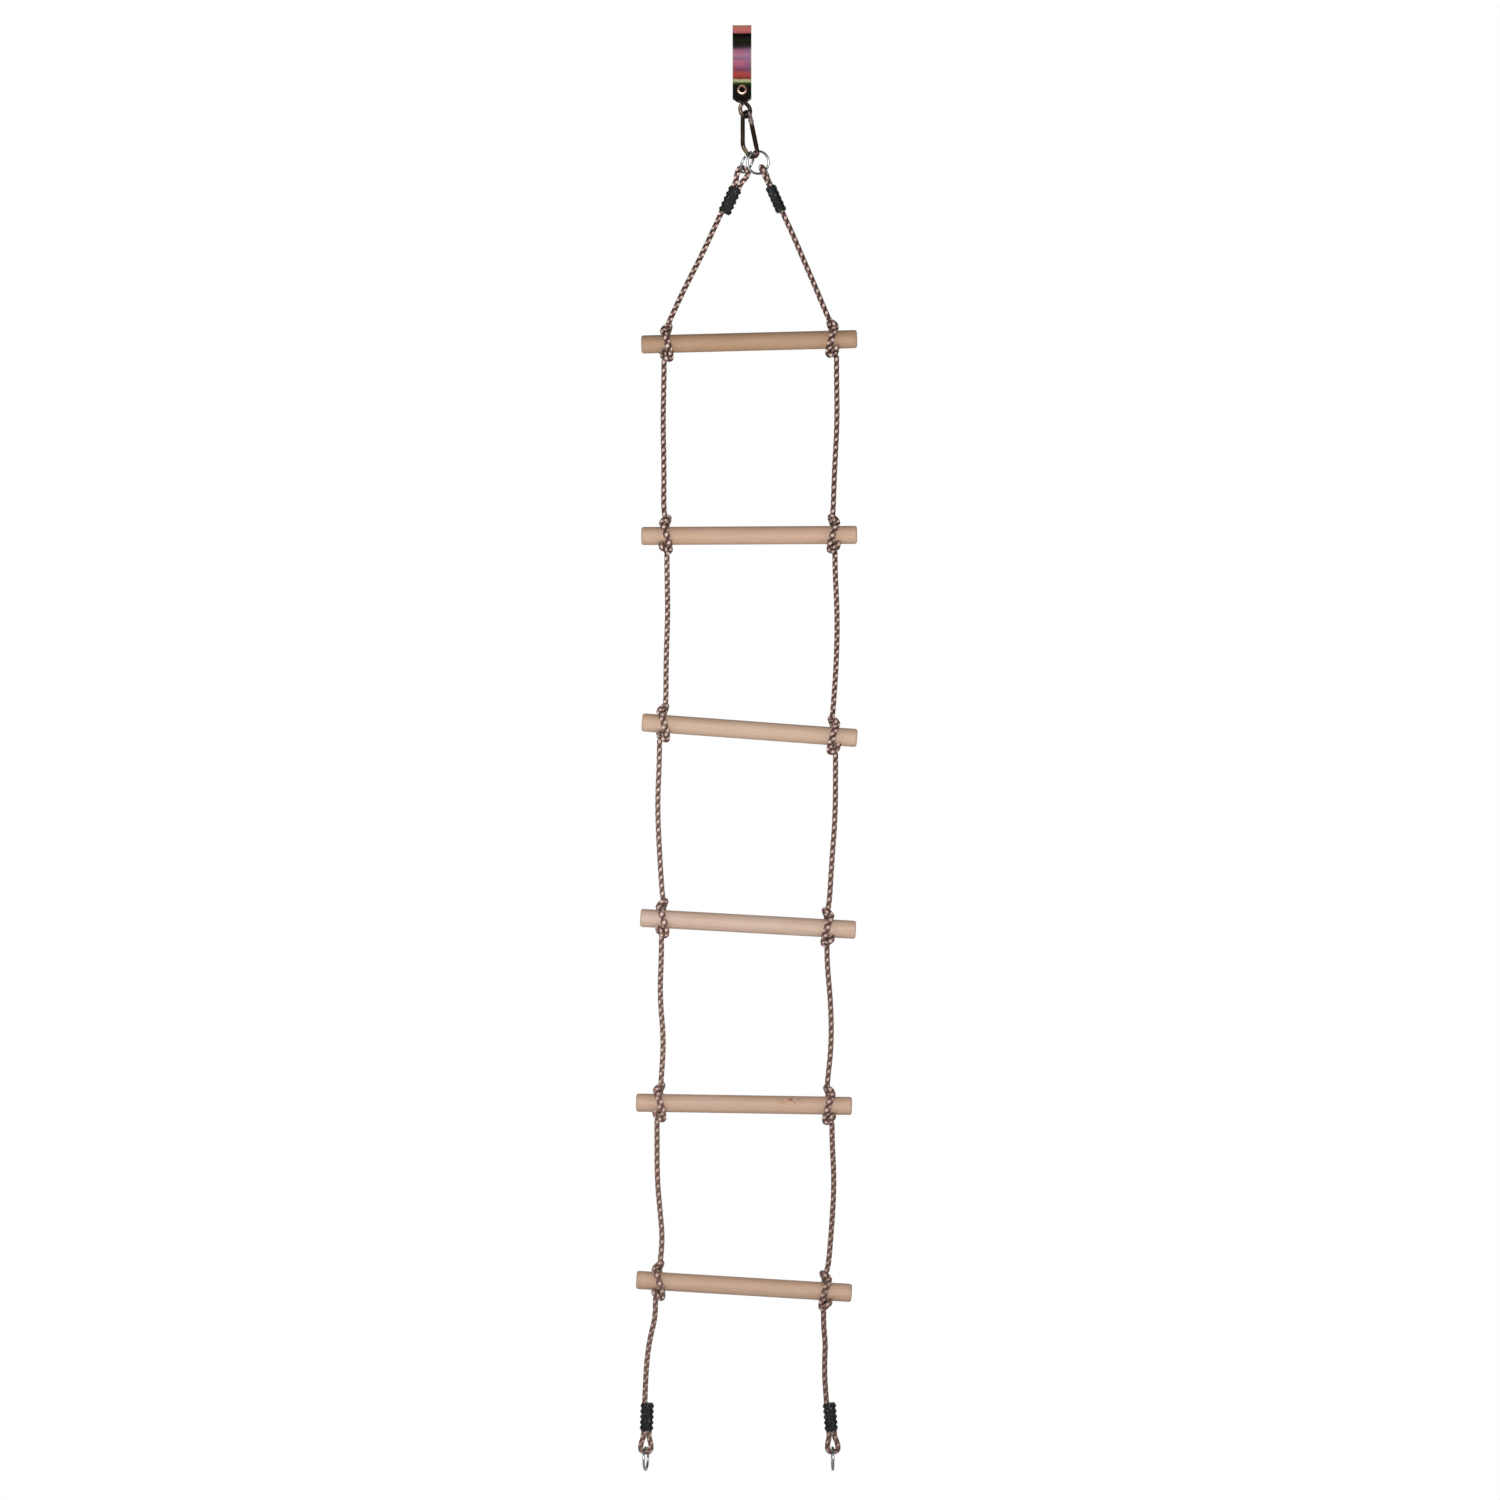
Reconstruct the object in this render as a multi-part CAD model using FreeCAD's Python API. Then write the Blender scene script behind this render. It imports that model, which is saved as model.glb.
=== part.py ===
import FreeCAD, Part
import math
import os

# A rope ladder of six beech rungs. It hangs from a round beam by a band clamp, an eye link, a snap
# hook and two rings, and each of its two tails ends in a ring for tying it down.
# Millimetres. +X runs along the beam and the rungs, +Y points away from the climber, +Z is up.
# The origin is the centre of the beam, in the middle of the clamp band.

Vec = FreeCAD.Vector
X, Y, Z = Vec(1, 0, 0), Vec(0, 1, 0), Vec(0, 0, 1)

# Beam clamp: one strap round the beam whose two ends hang down as lugs.
BEAM_R = 50.0
BAND_T = 3.0
BAND_W = 34.0
BAND_BEND_R = 5.0
LUG_GAP = 16.0
LUG_BOTTOM = -86.0
LUG_CHAMFER = (10.0, 6.5)
BOLT_Z = -66.0
BOLT_R = 5.0
BOLT_HEAD_R, BOLT_HEAD_H = 9.5, 5.5
BOLT_DOME_R, BOLT_TIP_CHAMFER, BOLT_SPARE = 3.9, 1.0, 2.5
BOLT_SOCKET_AF, BOLT_SOCKET_DEPTH = 9.5, 4.0
WASHER_R, WASHER_T = 10.0, 2.0
NUT_AF, NUT_T = 17.0, 8.5
NUT_CROWN, NUT_CHAMFER = 0.9, 1.2
BUSH_R = 7.0
# A fit leaves FIT all round and a loose running fit RUNNING. NEAR tells one edge from another.
FIT = 0.05
RUNNING = 0.1
NEAR = 0.1

# Eye link: an eye round the bolt's bush, and below it a drop-shaped loop turned across it.
LINK_WIRE_R = 3.75
LINK_EYE_R = BUSH_R + RUNNING + LINK_WIRE_R
LINK_NECK_R, LINK_NECK_L = 4.6, 1.0
LINK_APEX = -19.0
LINK_LOOP_R = 12.2
LINK_BOTTOM = -47.3
LINK_TURN = 43.0
LINK_TILT = -9.5

# Snap hook: u runs across the hook from its spine, v is the height.
HOOK_WIRE_R = 4.0
HOOK_TURN = LINK_TURN - 90.0
HOOK_TOP_R = 9.6
HOOK_TOP_V = -104.3
HOOK_V1 = (0.0, -166.0)
HOOK_V2 = (19.0, -187.0)
HOOK_BOTTOM_R = (22.0, 10.0, 6.5)
HOOK_RUN_IN = 3.5
GATE_LEAN = 16.5
GATE_HINGE_RUN = 10.5
GATE_R = 4.2
GATE_LENGTH = 51.5
GATE_GAP = 0.4
GATE_SLOT, GATE_SLOT_REACH = 4.0, 6.0
TONGUE_T, TONGUE_L = 3.6, 8.0
RIVET_R, RIVET_HEAD_R, RIVET_HEAD_T = 1.5, 2.4, 0.8
LATCH_T, LATCH_HALF_W, LATCH_L, LATCH_ROOT = 2.4, 2.0, 3.0, 2.0
LATCH_CLEAR, LATCH_SIDE_CLEAR = 0.6, 0.2
GATE_BORE_R, GATE_BORE_START, GATE_BORE_END = 2.4, 5.0, 27.0
PLUNGER_NOSE_R, PLUNGER_GAP, PLUNGER_END = 1.5, 0.3, 12.0
SPRING_R, SPRING_WIRE_R, SPRING_PITCH = 1.7, 0.35, 1.5

# Rings of round wire: where each one lies, and which way it faces.
RING_R = 20.25
RING_WIRE_R = 2.25
RING_GAP = 0.5
TOP_RINGS = {
    "left": (Vec(9.4, -0.5, -196.1), Vec(0.811, -0.356, -0.464)),
    "right": (Vec(29.1, -10.2, -197.3), Vec(0.313, -0.936, -0.158)),
}

# Rope, and the eyes at its ends: each is laid back on itself and held in a two-part ribbed sleeve.
ROPE_R = 4.75
LEG = 4.8
EYE_LENGTH = 38.0
EYE_HALF_W = 9.2
EYE_FLARE = 14.0
TAIL_END = 12.0
LEAD = 25.0
SLEEVE_L = 50.0
SLEEVE_BODY = (20.6, 16.6, 5.0)
SLEEVE_RIB = (24.2, 17.8, 5.4)
RIB_L, RIB_PITCH, RIB_COUNT = 4.0, 10.0, 5
WEB_HALF_W, WEB_DEEP = 2.5, 3.0
# Each eye: the middle of the sleeve's rope end, the direction towards the eye, and its turn about that.
TOP_EYES = {
    "left": (Vec(-32.4, 2.2, -287.3), Vec(0.421, 0, 0.907), 0.0),
    "right": (Vec(71.9, -4.0, -285.7), Vec(-0.407, 0, 0.914), -105.0),
}
BOTTOM_EYES = {
    "left": (Vec(-172.0, -1.0, -2451.0), Vec(-0.035, 0, -1), 180.0),
    "right": (Vec(158.5, -1.0, -2451.0), Vec(0.08, 0, -1), 180.0),
}
BOTTOM_RING_FACING = {"left": Vec(0.985, -0.172, 0), "right": Vec(1, 0.03, 0)}

# Rungs: middle X and Z, and how far the right end is up, in degrees.
RUNG_R = 16.5
RUNG_L = 392.0
RUNG_EDGE_R = 4.5
LADDER_Y = -1.0
RUNGS = (
    (13.0, -522.0, 1.45),
    (13.0, -874.0, 0.3),
    (13.6, -1228.0, -4.2),
    (11.0, -1580.0, -3.2),
    (3.6, -1908.0, -0.9),
    (3.6, -2239.0, -3.5),
)

# Knots round the rungs.
KNOT_W = 24.0
KNOT_UP, KNOT_DEEP = 38.5, 26.0
KNOT_EDGE_R = 7.0
STUB_TOP = 29.0
STUB_GAP = 0.3

# Routes of the ropes from the top down. Each one begins at the point that it bends about, below the
# knot or sleeve that it leaves, and ends in the top of its own knot, or on the rope of its eye.
ROUTES = {
    "bridle_rope_left": (
        (-49.4, 2.2, -312.5), (-75.8, 0.9, -369.5), (-106.6, -1.8, -429.0), (-134.0, -1.0, -489.0),
    ),
    "bridle_rope_right": (
        (86.0, 0.4, -312.3), (110.4, -1.0, -369.5), (135.0, 0.4, -426.0), (158.0, -1.0, -482.0),
    ),
    "rope_2_left": (
        (-141.8, -1.0, -590.0), (-143.8, 0.2, -668.0), (-141.6, -2.2, -752.0), (-142.7, -1.0, -837.0),
    ),
    "rope_2_right": (
        (171.8, -1.0, -583.0), (173.0, -2.4, -668.0), (168.3, 0.2, -752.0), (165.4, -1.0, -836.0),
    ),
    "rope_3_left": (
        (-136.4, -1.0, -939.0), (-134.7, 0.4, -1014.0), (-138.0, -2.0, -1098.0), (-138.2, -1.0, -1179.0),
    ),
    "rope_3_right": (
        (169.0, -1.0, -938.0), (173.4, -2.0, -1022.0), (171.3, 0.2, -1113.0), (164.5, -1.0, -1202.0),
    ),
    "rope_4_left": (
        (-150.0, -1.0, -1281.0), (-153.9, -2.4, -1363.0), (-150.2, 0.0, -1450.0),
        (-144.5, -1.0, -1534.0),
    ),
    "rope_4_right": (
        (170.0, -1.0, -1304.0), (169.6, 0.4, -1385.0), (163.0, -2.0, -1469.0), (158.2, -1.0, -1551.0),
    ),
    "rope_5_left": (
        (-146.4, -1.0, -1636.0), (-149.6, 0.2, -1712.0), (-141.9, -2.2, -1793.0),
        (-147.3, -1.0, -1868.0),
    ),
    "rope_5_right": (
        (154.5, -1.0, -1653.0), (161.5, -2.0, -1726.0), (162.6, 0.0, -1801.0), (154.5, -1.0, -1873.0),
    ),
    "rope_6_left": (
        (-154.5, -1.0, -1970.0), (-154.4, -2.2, -2040.0), (-149.4, -0.2, -2099.0), (-144.6, -1.6, -2148.0),
        (-148.2, -1.0, -2192.0),
    ),
    "rope_6_right": (
        (163.6, -1.0, -1975.0), (167.8, 0.2, -2051.0), (163.0, -2.2, -2131.0), (156.3, -1.0, -2211.0),
    ),
    "tail_rope_left": (
        (-157.3, -1.0, -2294.0), (-165.9, -2.0, -2327.0), (-171.6, -0.4, -2361.0), (-174.3, -1.6, -2394.0),
        (-175.92, -1.0, -2425.85),
    ),
    "tail_rope_right": (
        (148.2, -1.0, -2313.0), (151.6, -2.0, -2342.0), (150.3, 0.2, -2371.0), (150.1, -1.6, -2400.0),
        (151.72, -1.0, -2426.46),
    ),
}


def save(name, shape):
    """Writes one sub-part."""
    if not shape.isValid():
        raise ValueError(name + " isn't a valid shape")
    shape.exportStep("parts/" + name + ".step")


def cylinder(start, end, radius):
    """A round bar between two points."""
    return Part.makeCylinder(radius, (end - start).Length, start, end - start)


def round_corner(before, corner, after, radius):
    """The arc that rounds a corner, and the two points where it begins and ends."""
    back = (before - corner).normalize()
    ahead = (after - corner).normalize()
    half_turn = (math.pi - back.getAngle(ahead)) / 2
    reach = radius * math.tan(half_turn)
    start = corner + back * reach
    end = corner + ahead * reach
    middle = corner + (back + ahead).normalize() * (radius / math.cos(half_turn) - radius)
    return Part.Arc(start, middle, end).toShape(), start, end


def route_wire(points, radii):
    """Straight runs joined by tangent arcs, one radius for each inner point."""
    edges = []
    start = points[0]
    for before, corner, after, radius in zip(points, points[1:], points[2:], radii):
        arc, arc_start, arc_end = round_corner(before, corner, after, radius)
        edges.append(Part.LineSegment(start, arc_start).toShape())
        edges.append(arc)
        start = arc_end
    edges.append(Part.LineSegment(start, points[-1]).toShape())
    return Part.Wire(edges)


def sweep(wire, radius):
    """A round solid along a wire of tangent edges."""
    first = wire.OrderedEdges[0]
    start = first.valueAt(first.FirstParameter)
    tangent = first.tangentAt(first.FirstParameter)
    section = Part.Wire(Part.makeCircle(radius, start, tangent))
    return wire.makePipeShell([section], True, False)


def rope_radii(points):
    """The largest arcs that a rope's runs allow."""
    radii = []
    for before, corner, after in zip(points, points[1:], points[2:]):
        back = before - corner
        ahead = after - corner
        half_turn = (math.pi - back.getAngle(ahead)) / 2
        radii.append(0.45 * min(back.Length, ahead.Length) / math.tan(half_turn))
    return radii


def rope(name, points):
    """A rope's solid, with its radii, its length and its volume against section times length."""
    radii = rope_radii(points)
    wire = route_wire(points, radii)
    solid = sweep(wire, ROPE_R)
    share = solid.Volume / (math.pi * ROPE_R**2 * wire.Length)
    rounded = [round(r) for r in radii]
    print(name, "radii", rounded, "length", round(wire.Length, 1), "volume", round(share, 3))
    return solid


def hexagon(across_flats, height, base, axis):
    """A hexagonal bar."""
    corner_r = across_flats / math.sqrt(3)
    turns = [math.radians(60 * i) for i in range(7)]
    corners = [Vec(corner_r * math.cos(turn), corner_r * math.sin(turn), 0) for turn in turns]
    bar = Part.Face(Part.makePolygon(corners)).extrude(Z * height)
    bar.Placement = FreeCAD.Placement(base, FreeCAD.Rotation(Z, axis))
    return bar


def clamp_band():
    """The strap: a ring round the beam, open below between two lugs."""
    half_w = BAND_W / 2
    outer_r = BEAM_R + BAND_T
    ring = Part.makeCylinder(outer_r, BAND_W, Vec(-half_w, 0, 0), X)
    band = ring.cut(Part.makeBox(BAND_W, LUG_GAP, outer_r + 1, Vec(-half_w, -LUG_GAP / 2, -outer_r - 1)))
    for side in (-1, 1):
        near = min(side * LUG_GAP / 2, side * (LUG_GAP / 2 + BAND_T))
        height = -LUG_BOTTOM - BEAM_R + BAND_T
        band = band.fuse(Part.makeBox(BAND_W, BAND_T, height, Vec(-half_w, near, LUG_BOTTOM)))
    band = band.removeSplitter()
    lug_face = LUG_GAP / 2 + BAND_T
    corner_z = -math.sqrt(outer_r**2 - lug_face**2)
    across = [e for e in band.Edges if abs(e.Length - BAND_W) < NEAR]
    bends = [e for e in across if abs(e.CenterOfMass.z - corner_z) < NEAR]
    band = band.makeFillet(BAND_BEND_R, bends)
    band = band.cut(Part.makeCylinder(BEAM_R, BAND_W, Vec(-half_w, 0, 0), X))
    cut_x, cut_z = LUG_CHAMFER
    for side in (-1, 1):
        corner = Vec(side * half_w, -lug_face, LUG_BOTTOM)
        outline = (corner, corner - X * side * cut_x, corner + Z * cut_z, corner)
        band = band.cut(Part.Face(Part.makePolygon(outline)).extrude(Y * 2 * lug_face))
    return band.cut(cylinder(Vec(0, -lug_face, BOLT_Z), Vec(0, lug_face, BOLT_Z), BOLT_R + FIT))


def clamp_bolt():
    """A domed socket bolt, its head towards the climber."""
    face = -LUG_GAP / 2 - BAND_T
    end = -face + WASHER_T + NUT_T + BOLT_SPARE
    centre = Vec(0, face, BOLT_Z)
    head = Part.makeCylinder(BOLT_HEAD_R, BOLT_HEAD_H, centre, -Y)
    rim = [e for e in head.Edges if abs(e.CenterOfMass.y - (face - BOLT_HEAD_H)) < NEAR]
    head = head.makeFillet(BOLT_DOME_R, rim)
    head = head.cut(hexagon(BOLT_SOCKET_AF, BOLT_SOCKET_DEPTH, centre - Y * BOLT_HEAD_H, Y))
    shank = Part.makeCylinder(BOLT_R, end - face, centre, Y)
    tip = [e for e in shank.Edges if abs(e.CenterOfMass.y - end) < NEAR]
    return head.fuse(shank.makeChamfer(BOLT_TIP_CHAMFER, tip)).removeSplitter()


def clamp_nut():
    """The nut behind the back lug."""
    face = LUG_GAP / 2 + BAND_T + WASHER_T
    nut = hexagon(NUT_AF, NUT_T, Vec(0, face, BOLT_Z), Y)
    cone = Part.makeCylinder(NUT_AF / 2 + NUT_CROWN, NUT_T, Vec(0, face, BOLT_Z), Y)
    outer = [e for e in cone.Edges if abs(e.CenterOfMass.y - face - NUT_T) < NEAR]
    nut = nut.common(cone.makeChamfer(NUT_CHAMFER, outer))
    return nut.cut(Part.makeCylinder(BOLT_R + FIT, NUT_T, Vec(0, face, BOLT_Z), Y))


def tube_on_bolt(outer_r, start_y, length):
    """A plain ring on the bolt, such as a washer or a bush."""
    start = Vec(0, start_y, BOLT_Z)
    ring = Part.makeCylinder(outer_r, length, start, Y)
    return ring.cut(Part.makeCylinder(BOLT_R + FIT, length, start, Y))


def eye_link():
    """The link, made about the bolt's axis, then tilted as it hangs."""
    eye = Part.makeTorus(LINK_EYE_R, LINK_WIRE_R, Vec(), Y)
    across = Vec(math.cos(math.radians(LINK_TURN)), math.sin(math.radians(LINK_TURN)), 0)
    apex = Z * LINK_APEX
    centre = Z * (LINK_BOTTOM + LINK_LOOP_R)
    lean = math.asin(LINK_LOOP_R / (apex - centre).Length)
    touch = across * LINK_LOOP_R * math.cos(lean) + Z * LINK_LOOP_R * math.sin(lean)
    mirrored = touch - across * 2 * touch.dot(across)
    loop_path = Part.Wire([
        Part.LineSegment(apex, centre + touch).toShape(),
        Part.Arc(centre + touch, Z * LINK_BOTTOM, centre + mirrored).toShape(),
        Part.LineSegment(centre + mirrored, apex).toShape(),
    ])
    neck_end = apex - Z * LINK_NECK_L
    neck = cylinder(-Z * LINK_EYE_R, neck_end, LINK_NECK_R)
    ball = Part.makeSphere(LINK_NECK_R, neck_end)
    link = eye.fuse([neck, ball, sweep(loop_path, LINK_WIRE_R)]).removeSplitter()
    link = link.cut(Part.makeCylinder(BUSH_R + RUNNING, LUG_GAP, Vec(0, -LUG_GAP / 2, 0), Y))
    link.Placement = FreeCAD.Placement(Z * BOLT_Z, FreeCAD.Rotation(Y, LINK_TILT))
    return link


def link_contact():
    """The middle of the link's wire where the hook hangs on it."""
    return Z * BOLT_Z + FreeCAD.Rotation(Y, LINK_TILT).multVec(Z * LINK_BOTTOM)


def hook_point(u, v, w=0.0):
    """A point of the hook: across from its spine, height, and out of its plane."""
    turn = math.radians(HOOK_TURN)
    across = Vec(math.cos(turn), math.sin(turn), 0)
    out = Vec(-math.sin(turn), math.cos(turn), 0)
    spine = link_contact() - across * HOOK_TOP_R
    return Vec(spine.x, spine.y, 0) + across * u + Z * v + out * w


def gate_point(along, side=0.0, w=0.0):
    """A point of the gate: along it from its hinge, outwards across it, and out of the hook's plane."""
    lean = math.radians(GATE_LEAN)
    top_v = HOOK_TOP_V - HOOK_TOP_R
    run = along + GATE_HINGE_RUN
    u = HOOK_TOP_R + (HOOK_TOP_R + side) * math.cos(lean) + run * math.sin(lean)
    v = top_v + (HOOK_TOP_R + side) * math.sin(lean) - run * math.cos(lean)
    return hook_point(u, v, w)


def gate_plate(along, half_width, thickness, inner=None):
    """A flat plate in the hook's plane, between two places along the gate."""
    low, high = along
    left = -half_width if inner is None else inner
    places = ((low, left), (high, left), (high, half_width), (low, half_width))
    corners = [gate_point(*place) for place in places]
    out = (gate_point(0, 0, 1) - gate_point(0)) * thickness
    outline = [c - out * 0.5 for c in corners + corners[:1]]
    return Part.Face(Part.makePolygon(outline)).extrude(out)


def across_hinge(radius, half_length, start_at=0.0):
    """A round bar along the hinge's axis."""
    return cylinder(gate_point(0, 0, start_at), gate_point(0, 0, half_length), radius)


def hook_path():
    """The body's wire, from its hinge end over the top, down the spine and round to its nose."""
    top_v = HOOK_TOP_V - HOOK_TOP_R
    top_arc = Part.Arc(gate_point(-GATE_HINGE_RUN), hook_point(HOOK_TOP_R, HOOK_TOP_V), hook_point(0, top_v))
    lean = math.radians(GATE_LEAN)
    corner = gate_point(0)
    drop = (corner.z - HOOK_V2[1]) / math.cos(lean)
    bottom = [hook_point(0, top_v), hook_point(*HOOK_V1), hook_point(*HOOK_V2)]
    bottom += [gate_point(drop), gate_point(GATE_LENGTH)]
    hinge_end = gate_point(-GATE_HINGE_RUN)
    run_in = Part.LineSegment(gate_point(HOOK_RUN_IN - GATE_HINGE_RUN), hinge_end).toShape()
    return Part.Wire([run_in, top_arc.toShape()] + route_wire(bottom, HOOK_BOTTOM_R).Edges)


def hook_body():
    """The hook's body, with a tongue for the gate's hinge and a slot in its nose for the latch."""
    body = sweep(hook_path(), HOOK_WIRE_R)
    tongue = gate_plate((-TONGUE_L, 0), HOOK_WIRE_R, TONGUE_T)
    knuckle = across_hinge(HOOK_WIRE_R, TONGUE_T / 2, -TONGUE_T / 2)
    body = body.fuse([tongue, knuckle]).removeSplitter()
    body = body.cut(across_hinge(RIVET_R, GATE_SLOT_REACH, -GATE_SLOT_REACH))
    slot_run = (GATE_LENGTH - 1, GATE_LENGTH + LATCH_L + LATCH_CLEAR)
    slot = gate_plate(slot_run, LATCH_HALF_W + LATCH_SIDE_CLEAR, LATCH_T + LATCH_CLEAR, -GATE_SLOT_REACH)
    return body.cut(slot)


def hook_rivet():
    """The rivet that the gate turns on."""
    rivet = across_hinge(RIVET_R, GATE_R + RUNNING, -GATE_R - RUNNING)
    for side in (-1, 1):
        inner = side * (GATE_R + RUNNING)
        rivet = rivet.fuse(across_hinge(RIVET_HEAD_R, inner + side * RIVET_HEAD_T, inner))
    return rivet.removeSplitter()


def hook_gate():
    """The gate: a forked bar on the rivet, bored for its spring, with a flat latch at its tip."""
    bar_end = GATE_LENGTH - GATE_GAP
    gate = cylinder(gate_point(0), gate_point(bar_end), GATE_R).fuse(Part.makeSphere(GATE_R, gate_point(0)))
    latch = gate_plate((bar_end - LATCH_ROOT, GATE_LENGTH + LATCH_L), LATCH_HALF_W, LATCH_T)
    gate = gate.fuse(latch).removeSplitter()
    gate = gate.cut(gate_plate((-GATE_SLOT_REACH, GATE_SLOT_REACH), GATE_R + 1, GATE_SLOT))
    gate = gate.cut(cylinder(gate_point(GATE_BORE_START), gate_point(GATE_BORE_END), GATE_BORE_R))
    return gate.cut(across_hinge(RIVET_R + FIT, GATE_SLOT_REACH, -GATE_SLOT_REACH))


def gate_plunger():
    """The pin in the gate that the spring pushes against the tongue."""
    nose = gate_point(HOOK_WIRE_R + PLUNGER_GAP + PLUNGER_NOSE_R)
    pin = cylinder(nose, gate_point(PLUNGER_END), GATE_BORE_R - RUNNING)
    tip = Part.makeSphere(PLUNGER_NOSE_R, nose)
    return pin.fuse(tip).removeSplitter()


def gate_spring():
    """The coil spring behind the plunger."""
    length = GATE_BORE_END - PLUNGER_END - 2 * (SPRING_WIRE_R + RUNNING)
    helix = Part.makeHelix(SPRING_PITCH, length, SPRING_R)
    section = Part.Wire(Part.makeCircle(SPRING_WIRE_R, Vec(SPRING_R, 0, 0), Vec(0, 1, 0)))
    spring = Part.Wire(helix.Edges).makePipeShell([section], True, True)
    start = gate_point(PLUNGER_END + SPRING_WIRE_R + RUNNING)
    axis = gate_point(1) - gate_point(0)
    spring.Placement = FreeCAD.Placement(start, FreeCAD.Rotation(Z, axis))
    return spring


def rounded_block(size, corner_r, low, length):
    """A block along +Z with its four long edges rounded."""
    wide, thick = size
    block = Part.makeBox(wide, thick, length, Vec(-wide / 2, -thick / 2, low))
    uprights = [e for e in block.Edges if abs(abs(e.tangentAt(0).z) - 1) < NEAR]
    return block.makeFillet(corner_r, uprights)


def sleeve_half(side, eye):
    """One shell of a sleeve, with half of each rope channel. It lies along +Z, split across Y."""
    wide, thick, corner_r = SLEEVE_BODY
    shell = rounded_block((wide, thick), corner_r, 0, SLEEVE_L)
    rib_wide, rib_thick, rib_corner_r = SLEEVE_RIB
    first = (SLEEVE_L - (RIB_COUNT - 1) * RIB_PITCH - RIB_L) / 2
    for i in range(RIB_COUNT):
        shell = shell.fuse(rounded_block((rib_wide, rib_thick), rib_corner_r, first + i * RIB_PITCH, RIB_L))
    shell = shell.cut(Part.makeCylinder(ROPE_R, TAIL_END, Vec(LEG, 0, 0), Z))
    web = Part.makeBox(2 * WEB_HALF_W, 2 * WEB_DEEP, SLEEVE_L, Vec(-WEB_HALF_W, -WEB_DEEP, 0))
    shell = shell.cut([eye, web])
    low_y = 0 if side > 0 else -rib_thick
    half = Part.makeBox(rib_wide, rib_thick, SLEEVE_L, Vec(-rib_wide / 2, low_y, 0))
    return shell.common(half)


def eye_route():
    """The rope from a short lead, through the sleeve, round the eye and back in to its cut end."""
    top = SLEEVE_L + EYE_LENGTH
    flare = SLEEVE_L + EYE_FLARE
    side = [(-LEG, -LEAD), (-LEG, SLEEVE_L), (-EYE_HALF_W, flare), (-EYE_HALF_W, top)]
    back = [(EYE_HALF_W, top), (EYE_HALF_W, flare), (LEG, SLEEVE_L), (LEG, TAIL_END)]
    return [Vec(p, 0, q) for p, q in side + back]


def eye_placement(base, towards, turn):
    """Puts an eye's own axes in place: +Z towards the eye, +X across it."""
    towards = Vec(towards).normalize()
    across = Y.cross(towards)
    lie = FreeCAD.Rotation(across, Y, towards, "ZXY")
    return FreeCAD.Placement(base, lie.multiply(FreeCAD.Rotation(Z, turn)))


def placed(shape, placement):
    """A copy of a shape, moved."""
    copy = shape.copy()
    copy.Placement = placement.multiply(copy.Placement)
    return copy


def save_eye(where, side, eye, halves, facts):
    """Writes an eye with its sleeve's two shells, the one nearer the climber as its front."""
    placement = eye_placement(*facts)
    save(where + "_eye_" + side, placed(eye, placement))
    for half in halves:
        shell = placed(half, placement)
        name = "front" if shell.BoundBox.Center.y < facts[0].y else "back"
        save(where + "_sleeve_" + side + "_" + name, shell)


def ring(centre, facing):
    """A ring of round wire."""
    return Part.makeTorus(RING_R, RING_WIRE_R, centre, facing)


def bottom_ring(side):
    """A ring hanging in the eye of a tail."""
    placement = eye_placement(*BOTTOM_EYES[side])
    hang = SLEEVE_L + EYE_LENGTH - ROPE_R - RING_WIRE_R - RING_GAP
    contact = placement.multVec(Z * hang)
    return ring(contact - Z * RING_R, BOTTOM_RING_FACING[side])


def rung_height(number, x):
    """The height of a rung's axis at x."""
    middle_x, middle_z, tilt = RUNGS[number - 1]
    return middle_z + math.tan(math.radians(tilt)) * (x - middle_x)


def rung(number):
    """A turned beech rung with softened ends."""
    middle_x, middle_z, tilt = RUNGS[number - 1]
    bar = Part.makeCylinder(RUNG_R, RUNG_L, Vec(-RUNG_L / 2, 0, 0), X)
    rims = [e for e in bar.Edges if abs(abs(e.CenterOfMass.x) - RUNG_L / 2) < NEAR]
    bar = bar.makeFillet(RUNG_EDGE_R, rims)
    bar.Placement = FreeCAD.Placement(Vec(middle_x, LADDER_Y, middle_z), FreeCAD.Rotation(Y, -tilt))
    return bar


def rope_name(number, side):
    """The name of the rope that comes down to a rung, or of the tail below the last rung."""
    if number == 1:
        return "bridle_rope_" + side
    if number > len(RUNGS):
        return "tail_rope_" + side
    return "rope_" + str(number) + "_" + side


def knot(number, side, bar):
    """A knot's outer form round its rung, with the short end of rope that leaves it below."""
    above = ROUTES[rope_name(number, side)][-1]
    below = ROUTES[rope_name(number + 1, side)][0]
    middle_x = (above[0] + below[0]) / 2
    centre = Vec(middle_x, LADDER_Y, rung_height(number, middle_x))
    outline = Part.Face(Part.Wire(Part.Ellipse(Vec(), KNOT_UP, KNOT_DEEP).toShape()))
    form = outline.extrude(Z * KNOT_W)
    form.Placement = FreeCAD.Placement(centre - X * KNOT_W / 2, FreeCAD.Rotation(Z, Y, X, "ZXY"))
    closed = [e for e in form.Edges if e.isClosed()]
    rims = [e for e in closed if abs(abs(e.CenterOfMass.x - middle_x) - KNOT_W / 2) < NEAR]
    form = form.makeFillet(KNOT_EDGE_R, rims)
    pivot = Vec(*below)
    stub_top = Vec(pivot.x, pivot.y, centre.z - STUB_TOP)
    stub = cylinder(stub_top, pivot + Z * (ROPE_R + STUB_GAP), ROPE_R)
    return form.fuse(stub).removeSplitter().cut(bar)


def free_rope(name, form=None):
    """A rope below a knot: its top is round, about the point that it bends at."""
    points = [Vec(*p) for p in ROUTES[name]]
    tube = rope(name, points)
    tube = tube.fuse(Part.makeSphere(ROPE_R, points[0])).removeSplitter()
    return tube.cut(form) if form else tube


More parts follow.
